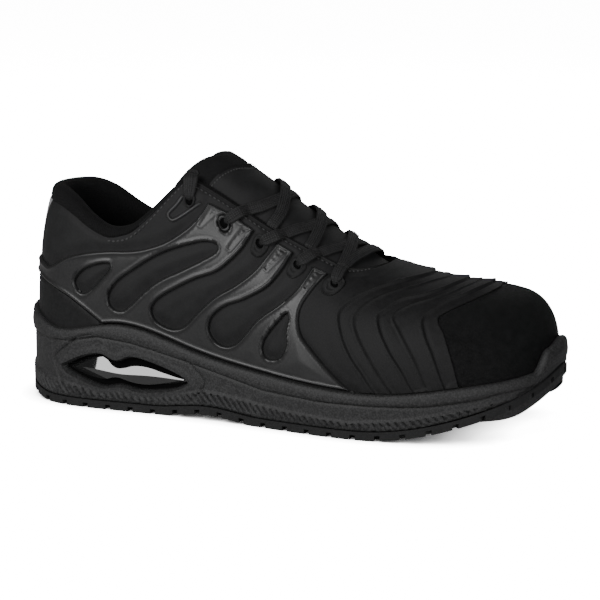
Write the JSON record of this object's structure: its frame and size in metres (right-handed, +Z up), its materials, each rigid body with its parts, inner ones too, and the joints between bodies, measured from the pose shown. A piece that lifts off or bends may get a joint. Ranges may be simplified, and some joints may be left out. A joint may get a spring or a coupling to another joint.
{
  "type": "safety sneaker",
  "caption": "Low safety trainer for a right foot: padded collar, moulded side cages, lapped vamp plates, flat laces and a lugged sole.",
  "frame": {"origin": "middle of the shoe's box, on the floor under the tread", "axes": "+X from heel to toe, +Y towards the inner side of the foot, +Z up"},
  "size_m": [0.3, 0.107, 0.139],
  "materials": {
    "rubber": "matte black outsole rubber",
    "foam": "speckled black midsole foam",
    "gloss": "glossy black cushion insert",
    "microfibre": "black nubuck-like microfibre",
    "cage": "satin black moulded film",
    "knit": "black knit and mesh",
    "lace": "black flat woven lace",
    "tape": "grey reflective tape"
  },
  "bodies": {
    "root": {"outsole": "rubber", "midsole": "foam", "heel_cushion_outer": "gloss", "heel_cushion_inner": "gloss", "insole": "knit", "upper": "microfibre", "cage_outer": "cage", "cage_inner": "cage", "heel_counter": "microfibre", "heel_strip": "tape", "vamp_plates": "microfibre", "tongue": "knit", "laces": "lace", "lace_end_outer": "lace", "lace_end_inner": "lace", "eyelet_outer_1": "cage", "eyelet_outer_2": "cage", "eyelet_outer_3": "cage", "eyelet_outer_4": "cage", "eyelet_outer_5": "cage", "eyelet_inner_1": "cage", "eyelet_inner_2": "cage", "eyelet_inner_3": "cage", "eyelet_inner_4": "cage", "eyelet_inner_5": "cage"}
  },
  "joints": []
}
